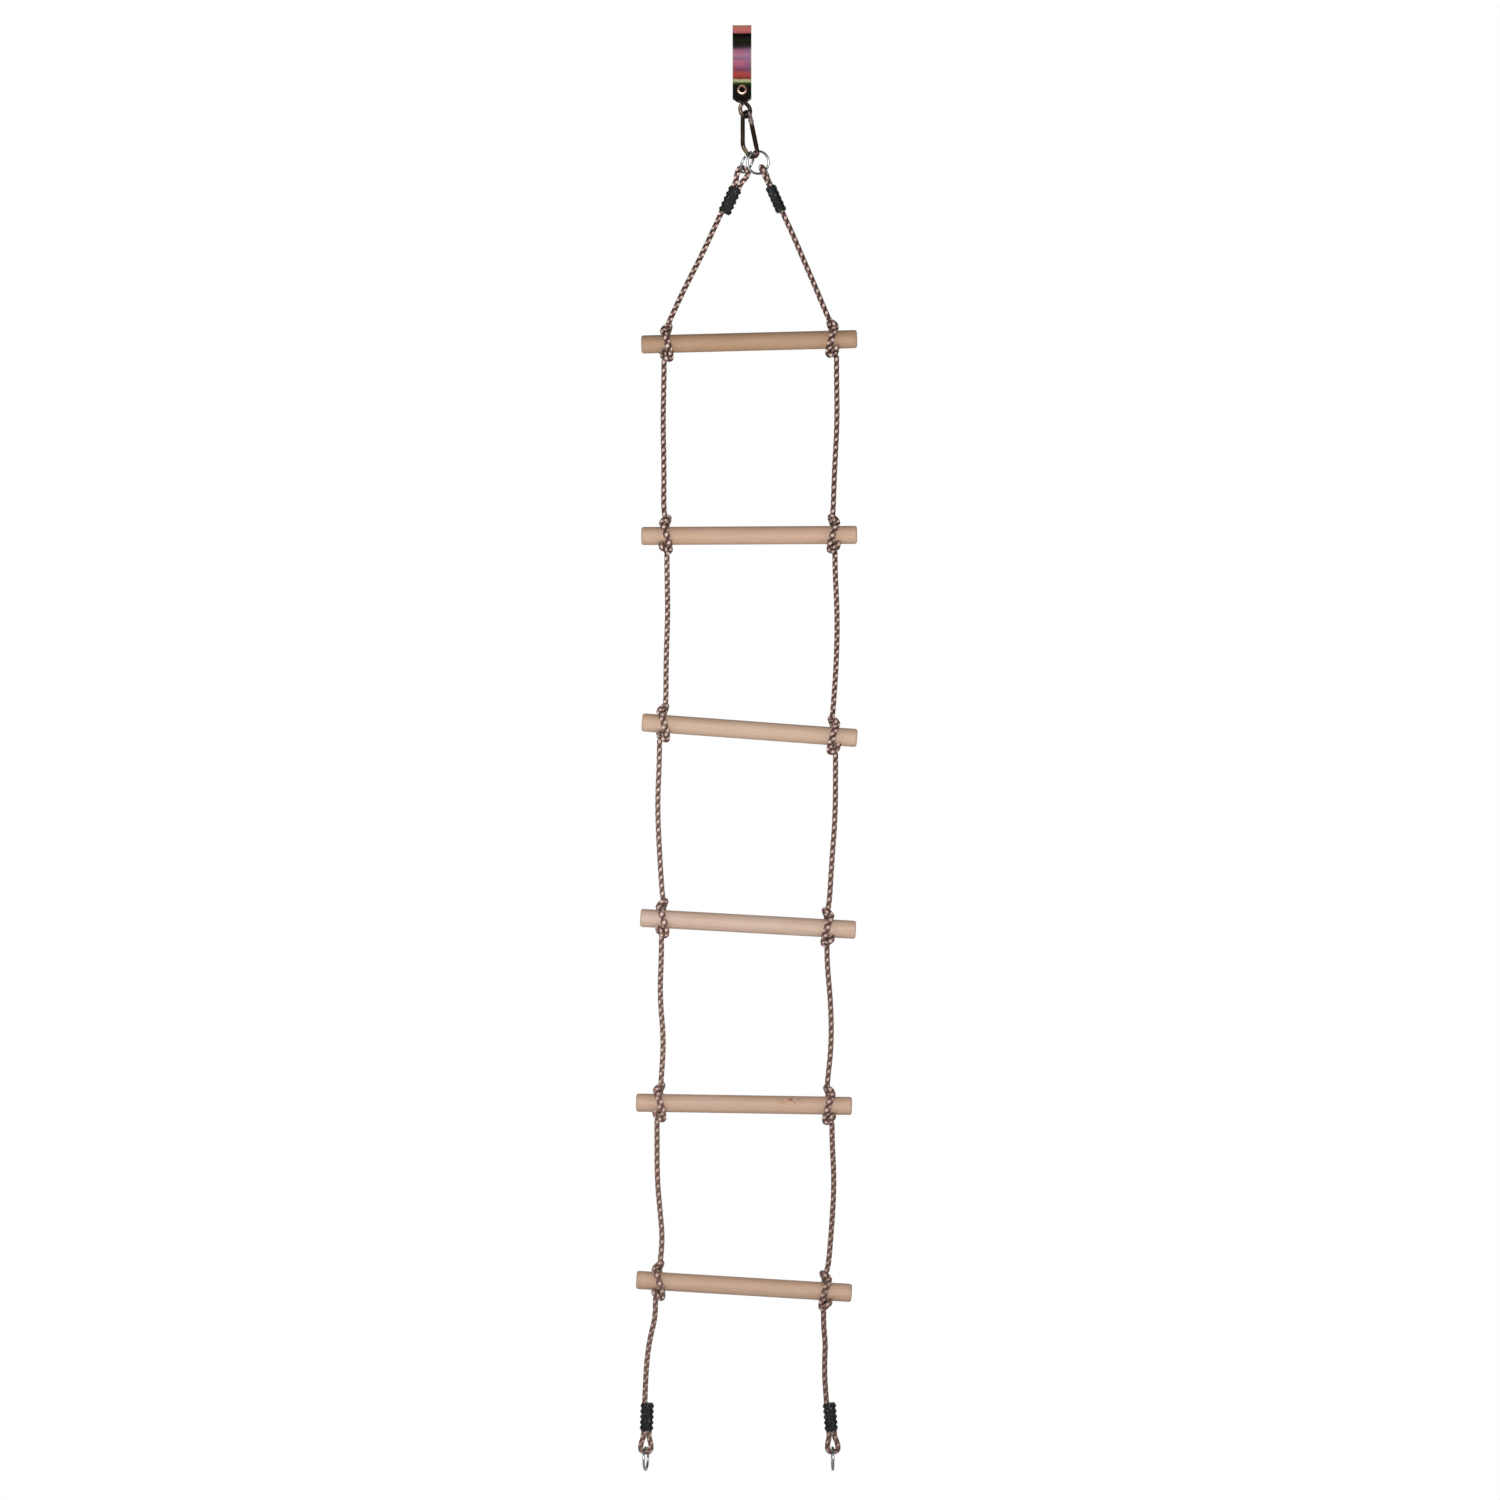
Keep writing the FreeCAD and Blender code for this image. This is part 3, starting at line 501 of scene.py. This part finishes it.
def band_material():
    """The band's plating: bands of colour, more violet to the right, with yellow edges, and near-black zones
    of painted dark reflection.
    """
    material, nodes, links, shader = new_material("chromated_band_painted_reflection")
    share, x = height_share(nodes, links, BAND, BAND_GRAIN, BAND_SWAY)
    colour = zones(nodes, links, share, BAND)
    coloured = zones(nodes, links, share, tuple((z, (1.0 - m,) * 3) for z, m in BAND_METAL))
    metallic = zones(nodes, links, share, tuple((z, (m,) * 3) for z, m in BAND_METAL))
    turn = zones(nodes, links, share, tuple((z, (t,) * 3) for z, t in BAND_TURN))
    violet = across(nodes, links, colour, x, *BAND_VIOLET, most=0.6)
    colour = mixed(nodes, links, "MIX", turn, colour, violet)
    from_middle = math_node(nodes, links, "ABSOLUTE", x)
    edged = across(nodes, links, colour, from_middle, *BAND_EDGE, most=0.8)
    colour = mixed(nodes, links, "MIX", coloured, colour, edged)
    links.new(metallic, shader.inputs["Metallic"])
    finish_metal(nodes, links, shader, colour, (0.55, 1.45), (0.34, 0.56), 620.0)
    return material


def bolt_material():
    """Coppery plating, with painted shade darkening the socket in the head."""
    material, nodes, links, shader = new_material("copper_plate", 1.0)
    share, _ = height_share(nodes, links, COPPER, GRAIN, SWAY)
    from_axis = nodes.new("ShaderNodeVectorMath")
    from_axis.operation = "LENGTH"
    links.new(place(nodes, links, (1, 0, 1), (0, 0, -BOLT_Z * MM)), from_axis.inputs[0])
    # Inside the socket the colour is a painted shade, near black.
    first, last, dark = SOCKET_PAINTED_SHADE
    copper = zones(nodes, links, share, COPPER)
    colour = across(nodes, links, dark, from_axis.outputs["Value"], first, last, copper)
    finish_metal(nodes, links, shader, colour, (0.8, 1.2), (0.16, 0.34))
    return material


def plastic_material():
    """Black moulded plastic, a little dusty, with light grey specks, partly scuff marks and partly painted
    glints, and a fine texture.
    """
    material, nodes, links, shader = new_material("sleeve_plastic")
    dust = noise(nodes, links, place(nodes, links), 260.0, 4.0, 0.6)
    scuff_and_glint_noise = noise(nodes, links, place(nodes, links), 300.0, 2.0)
    shader.inputs["Specular IOR Level"].default_value = 0.13
    colour = ramp(nodes, links, dust, *PLASTIC)
    # Light grey specks: partly scuff marks, partly painted glints where the ribs would catch the light.
    scuff_and_glint_mask = nodes.new("ShaderNodeMapRange")
    scuff_and_glint_mask.inputs["From Min"].default_value = 0.60
    scuff_and_glint_mask.inputs["From Max"].default_value = 0.74
    links.new(scuff_and_glint_noise, scuff_and_glint_mask.inputs["Value"])
    colour = mixed(nodes, links, "MIX", scuff_and_glint_mask.outputs["Result"], colour, SCUFF_AND_GLINT_GREY)
    links.new(colour, shader.inputs["Base Color"])
    links.new(spread(nodes, links, dust, 0.36, 0.56), shader.inputs["Roughness"])
    first = bump(nodes, links, dust, 0.3, 0.12 * MM, shader)
    bump(nodes, links, scuff_and_glint_noise, 0.3, 0.06 * MM, shader, first)
    return material


def dress():
    """Every CAD node that stays in view gets its material."""
    looks = {}
    for number, tint in enumerate(WOOD, 1):
        looks[f"rung_{number}"] = wood_material(number, tint)
    zinc = metal_material("zinc", ZINC, metallic=1.0, rough=(0.08, 0.20), mottle=(0.88, 1.1))
    for name in ("top_ring_left", "top_ring_right", "bottom_ring_left", "bottom_ring_right"):
        looks[name] = zinc
    plastic = plastic_material()
    for end in ("top", "bottom"):
        for side in SIDES:
            for half in ("front", "back"):
                looks[f"{end}_sleeve_{side}_{half}"] = plastic
    looks["clamp_band"] = band_material()
    looks["clamp_bolt"] = bolt_material()
    plate = metal_material("dark_plate", DARK_PLATE, rough=(0.22, 0.40))
    for name in ("clamp_nut", "clamp_washer", "pivot_bush"):
        looks[name] = plate
    looks["eye_link"] = metal_material("link_wire", LINK, rough=(0.20, 0.38), right=LINK_TURN)
    looks["hook_body"] = metal_material("hook_steel", HOOK, rough=(0.20, 0.40), right=HOOK_TURN)
    looks["hook_gate"] = metal_material("gate_steel", GATE_PAINTED_GLARE, rough=(0.20, 0.40))
    looks["hook_rivet"] = looks["hook_gate"]
    looks["gate_plunger"] = looks["gate_spring"] = plate
    for name, material in looks.items():
        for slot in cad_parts[name].material_slots:
            slot.material = material
    hidden = {n for n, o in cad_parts.items() if o.hide_render}
    missed = set(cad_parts) - set(looks) - hidden
    if missed:
        raise ValueError(f"no material for {sorted(missed)}")


# Ropes


def spline_points(points):
    """Points along the smooth spline that has these control points."""
    curve = bpy.data.curves.new("route", "CURVE")
    curve.dimensions = "3D"
    curve.resolution_u = 40
    spline = curve.splines.new("NURBS")
    spline.points.add(len(points) - 1)
    for target, point in zip(spline.points, points):
        target.co = (*point, 1.0)
    spline.order_u = 3
    spline.use_endpoint_u = True
    holder = bpy.data.objects.new("route", curve)
    mesh = bpy.data.meshes.new_from_object(holder)
    line = np.array([v.co for v in mesh.vertices], float)
    bpy.data.meshes.remove(mesh)
    bpy.data.curves.remove(curve)
    return line


def even(line, step):
    """The line again, with points a step apart."""
    gaps = np.linalg.norm(np.diff(line, axis=0), axis=1)
    line = line[np.concatenate([[True], gaps > 1e-9])]
    along = np.concatenate([[0], np.cumsum(np.linalg.norm(np.diff(line, axis=0), axis=1))])
    at = np.linspace(0, along[-1], math.ceil(along[-1] / step) + 1)
    return np.stack([np.interp(at, along, line[:, k]) for k in range(3)], axis=1)


def length_of(line):
    return float(np.linalg.norm(np.diff(line, axis=0), axis=1).sum())


def unit(rows):
    return rows / np.linalg.norm(rows, axis=1)[:, None]


def carried_frame(line, first):
    """Two directions across the line at each point, carried along it without twist from the first."""
    tangents = unit(np.gradient(line, axis=0))
    across = np.zeros_like(line)
    start = first - tangents[0] * (first @ tangents[0])
    across[0] = start / np.linalg.norm(start)
    for i in range(1, len(line)):
        turn = Vector(tangents[i - 1]).rotation_difference(Vector(tangents[i]))
        carried = np.array(turn @ Vector(across[i - 1]))
        carried -= tangents[i] * (carried @ tangents[i])
        across[i] = carried / np.linalg.norm(carried)
    return tangents, across, np.cross(tangents, across)


def tube_faces(rings, sides, closed_ends=True):
    """The faces of a tube of rings of points."""
    start = np.arange(rings - 1)[:, None] * sides
    here, there = np.arange(sides), (np.arange(sides) + 1) % sides
    quads = np.stack([start + here, start + there, start + sides + there, start + sides + here], axis=2)
    faces = quads.reshape(-1, 4).tolist()
    if closed_ends:
        faces.append(list(range(sides))[::-1])
        faces.append(list(range((rings - 1) * sides, rings * sides)))
    return faces


def strand(line, frame_of, along, hand, number):
    """One strand of the braid: its points, and how it lies at each, along and around it."""
    _, across, up = frame_of
    angle = hand * (along / BRAID_LAY * math.tau) + number * math.tau / 4
    radius = BRAID_MIDDLE_R + hand * BRAID_WAVE * np.cos(4 * angle)
    out = np.cos(angle)[:, None] * across + np.sin(angle)[:, None] * up
    middle = line + radius[:, None] * out
    way = unit(np.gradient(middle, axis=0))
    out = unit(out - way * (out * way).sum(1)[:, None])
    side = np.cross(way, out)
    around = np.linspace(-math.pi, math.pi, STRAND_SIDES, endpoint=False)
    flat = np.sign(np.sin(around)) * np.abs(np.sin(around)) ** 0.8 * STRAND_W / 2
    thick = np.sign(np.cos(around)) * np.abs(np.cos(around)) ** 0.8 * STRAND_T / 2
    points = middle[:, None] + side[:, None] * flat[None, :, None] + out[:, None] * thick[None, :, None]
    lie = np.zeros(points.shape)
    lie[:, :, 0] = along[:, None]
    lie[:, :, 1] = around[None, :]
    lie[:, :, 2] = number + 4 * (hand > 0)
    return points, lie.reshape(-1, 3)


def smooth(value):
    """An even step from 0 to 1."""
    value = np.clip(value, 0, 1)
    return value * value * (3 - 2 * value)


def pressed(points, line, frame_of, rung):
    """A rope's points, moved so that it lies wider and flatter on the front of a rung."""
    if rung is None:
        return points
    middle, axis = (np.array(v) for v in rung)
    away = line - middle
    away -= (away @ axis)[:, None] * axis
    distance = np.linalg.norm(away, axis=1)
    share = smooth((PRESS_FROM - distance) / (PRESS_FROM - PRESS_FULL))
    share *= smooth((-away[:, 1] - PRESS_FRONT) / (PRESS_FRONT_FULL - PRESS_FRONT))
    tangents = frame_of[0]
    out = unit(away - tangents * (away * tangents).sum(1)[:, None])
    side = np.cross(tangents, out)
    offsets = points - line[:, None]
    depth = (offsets * out[:, None]).sum(2)
    width = (offsets * side[:, None]).sum(2)
    depth_change = depth * (PRESS_FLATTER - 1) * share[:, None]
    width_change = width * (PRESS_WIDER - 1) * share[:, None]
    return points + depth_change[:, :, None] * out[:, None] + width_change[:, :, None] * side[:, None]


def braided_rope(name, line, start_across, start_along, material, tones_of, rung):
    """A braided rope along a line. Returns it with the direction and distance to go on from."""
    frame_of = carried_frame(line, start_across)
    along = start_along + np.linspace(0, length_of(line), len(line))
    points, lies, tones, faces = [], [], [], []
    count = 0
    for hand in (1, -1):
        for number in range(4):
            p, lie = strand(line, frame_of, along, hand, number)
            p = pressed(p, line, frame_of, rung).reshape(-1, 3)
            points.append(p)
            lies.append(lie)
            contrast, darker = tones_of
            tones.append(np.full(len(p), MID + (TONES[hand][number] - MID) * contrast + darker))
            faces += [[i + count for i in f] for f in tube_faces(len(line), STRAND_SIDES)]
            count += len(p)
    _, across, up = frame_of
    around = np.linspace(0, math.tau, CORE_SIDES, endpoint=False)
    core = line[:, None] + CORE_R * (
        np.cos(around)[None, :, None] * across[:, None] + np.sin(around)[None, :, None] * up[:, None]
    )
    points.append(pressed(core, line, frame_of, rung).reshape(-1, 3))
    lies.append(np.zeros((len(points[-1]), 3)))
    tones.append(np.full(len(points[-1]), DARK))
    faces += [[i + count for i in f] for f in tube_faces(len(line), CORE_SIDES)]
    mesh = bpy.data.meshes.new(name)
    mesh.from_pydata(np.concatenate(points).tolist(), [], faces)
    mesh.attributes.new("tone", "FLOAT", "POINT").data.foreach_set("value", np.concatenate(tones))
    lie = mesh.attributes.new("lie", "FLOAT_VECTOR", "POINT")
    lie.data.foreach_set("vector", np.concatenate(lies).ravel())
    mesh.shade_smooth()
    mesh.materials.append(material)
    rope = bpy.data.objects.new(name, mesh)
    bpy.context.collection.objects.link(rope)
    return rope, across[-1], along[-1]


def metres(points):
    return [Vector(p) * MM for p in points]


def eye_points(facts):
    """An eye's route in place, from its lead to its cut end."""
    base, towards, turn = facts
    towards = Vector(towards).normalized()
    across = Quaternion(towards, math.radians(turn)) @ Vector((0, 1, 0)).cross(towards)
    return [Vector(base) * MM + (across * p + towards * q) * MM for p, q in EYE]


def knot_points(number, side):
    """A knot's route round its rung, from above it to the place where the next piece of rope begins."""
    above = Vector(ROUTES[f"{number}_{side}"][-1])
    below = Vector(ROUTES["tail_" + side if number == RUNG_COUNT else f"{number + 1}_{side}"][0])
    middle_x = (above.x + below.x) / 2
    left_end, right_end = rung_end(number, -1), rung_end(number, 1)
    share = (middle_x - left_end.x) / (right_end.x - left_end.x)
    centre = left_end.lerp(right_end, share)
    turns = [centre + Vector((SIGN[side] * u, v, w)) for u, v, w in KNOT]
    out = [Vector((below.x, centre.y + v, centre.z + w)) for v, w in KNOT_EXIT]
    return metres(turns + out)


def rung_end(number, way):
    """A point of a rung's axis near one end, in millimetres: the middle of a slice of its mesh."""
    points = np.array([v.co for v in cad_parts[f"rung_{number}"].data.vertices]) / MM
    edge = points[:, 0].max() if way > 0 else points[:, 0].min()
    near = points[np.abs(points[:, 0] - edge) < RUNG_END_SLICE]
    return Vector(((near.min(0) + near.max(0)) / 2).tolist())


def make_rope(name, points, carried, look, nodes, rung=None):
    """One length of rope, which bends between two bodies at a point."""
    line = even(spline_points(points), ROPE_STEP)
    across, along = carried
    material, tones_of = look
    rope, across, along = braided_rope(name, line, across, along, material, tones_of, rung)
    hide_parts(*nodes)
    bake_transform(rope)
    return across, along


def rung_axis(number):
    """A point of a rung's axis and its direction, in metres."""
    left_end, right_end = rung_end(number, -1) * MM, rung_end(number, 1) * MM
    return left_end, (right_end - left_end).normalized()


def tones_at(number, side):
    """How strongly a rope's yarns differ, less so lower down, and how much darker it is than the rest."""
    return 1.0 - CONTRAST_LOSS * (number - 1), DARKER[number - 1] + DARKER_SIDE[side]


def side_ropes(side, material):
    """All the rope of one side, as lengths that meet inside the knots."""
    eye = eye_points(TOP_EYES[side])[::-1]
    route = metres(ROUTES["1_" + side])
    carried = make_rope(
        "bridle_" + side, eye + route + knot_points(1, side), (np.array((0.0, 1.0, 0.0)), 0.0),
        (material, tones_at(1, side)), (f"top_eye_{side}", f"bridle_rope_{side}", f"knot_1_{side}"),
        rung_axis(1),
    )
    for number in range(2, RUNG_COUNT + 1):
        start = knot_points(number - 1, side)[-1]
        route = metres(ROUTES[f"{number}_{side}"])
        carried = make_rope(
            f"bay_{number}_{side}", [start] + route + knot_points(number, side), carried,
            (material, tones_at(number, side)), (f"rope_{number}_{side}", f"knot_{number}_{side}"),
            rung_axis(number),
        )
    start = knot_points(RUNG_COUNT, side)[-1]
    route = metres(ROUTES["tail_" + side])
    make_rope(
        "tail_" + side, [start] + route + eye_points(BOTTOM_EYES[side]), carried,
        (material, tones_at(RUNG_COUNT + 1, side)), (f"tail_rope_{side}", f"bottom_eye_{side}"),
    )


# Camera, floor and light


def seen_white(tree, other):
    """A shader that the camera sees as plain white, and that is another one for every other ray."""
    nodes, links = tree.nodes, tree.links
    path = nodes.new("ShaderNodeLightPath")
    white = nodes.new("ShaderNodeEmission")
    mix = nodes.new("ShaderNodeMixShader")
    links.new(path.outputs["Is Camera Ray"], mix.inputs[0])
    links.new(other, mix.inputs[1])
    links.new(white.outputs[0], mix.inputs[2])
    return mix.outputs[0]


def softbox(name, place_at, size, watts):
    """A square light that faces the ladder's middle, and that the camera doesn't see."""
    light = bpy.data.lights.new(name, "AREA")
    light.shape = "RECTANGLE"
    light.size, light.size_y = size
    light.energy = watts
    holder = bpy.data.objects.new(name, light)
    holder.location = place_at
    aim = Vector((VIEW_MIDDLE[0], 0, VIEW_MIDDLE[1])) - Vector(place_at)
    holder.rotation_euler = aim.to_track_quat("-Z", "Y").to_euler()
    holder.visible_camera = False
    bpy.context.scene.collection.objects.link(holder)


def stage():
    """A long lens straight on, a pale floor below the ladder, and soft light from the front."""
    scene = bpy.context.scene
    scene.view_settings.view_transform = "Standard"
    camera = bpy.data.cameras.new("camera")
    camera.lens = CAMERA_SENSOR * CAMERA_FAR / VIEW_WIDTH
    holder = bpy.data.objects.new("camera", camera)
    holder.location = (VIEW_MIDDLE[0], -CAMERA_FAR, VIEW_MIDDLE[1])
    holder.rotation_euler = (math.radians(90), 0, 0)
    scene.collection.objects.link(holder)
    scene.camera = holder
    floor_mesh = bpy.data.meshes.new("floor")
    corners = [(x * FLOOR_REACH, y * FLOOR_REACH, FLOOR_Z) for x, y in ((-1, -1), (1, -1), (1, 1), (-1, 1))]
    floor_mesh.from_pydata(corners, [], [(0, 1, 2, 3)])
    material, nodes, links, shader = new_material("studio_floor", roughness=0.9)
    shader.inputs["Base Color"].default_value = (FLOOR_GREY, FLOOR_GREY, FLOOR_GREY, 1.0)
    links.new(seen_white(material.node_tree, shader.outputs[0]), nodes["Material Output"].inputs["Surface"])
    floor_mesh.materials.append(material)
    floor = bpy.data.objects.new("floor", floor_mesh)
    scene.collection.objects.link(floor)
    world = bpy.data.worlds.new("studio")
    world.use_nodes = True
    tree = world.node_tree
    around = tree.nodes["Background"]
    around.inputs["Color"].default_value = (AMBIENT, AMBIENT, AMBIENT, 1.0)
    tree.links.new(seen_white(tree, around.outputs[0]), tree.nodes["World Output"].inputs["Surface"])
    scene.world = world
    for facts in SOFTBOXES:
        softbox(*facts)
    spot = bpy.data.lights.new("clamp_spot", "SPOT")
    spot.energy = SPOT_WATTS
    spot.spot_size = SPOT_CONE
    spot.spot_blend = SPOT_BLEND
    spot.shadow_soft_size = SPOT_RADIUS
    holder = bpy.data.objects.new("clamp_spot", spot)
    holder.location = SPOT_AT
    holder.rotation_euler = (Vector(SPOT_AIM) - holder.location).to_track_quat("-Z", "Y").to_euler()
    holder.visible_camera = False
    scene.collection.objects.link(holder)


stage()
yarn = rope_material()
for side in SIDES:
    side_ropes(side, yarn)
dress()
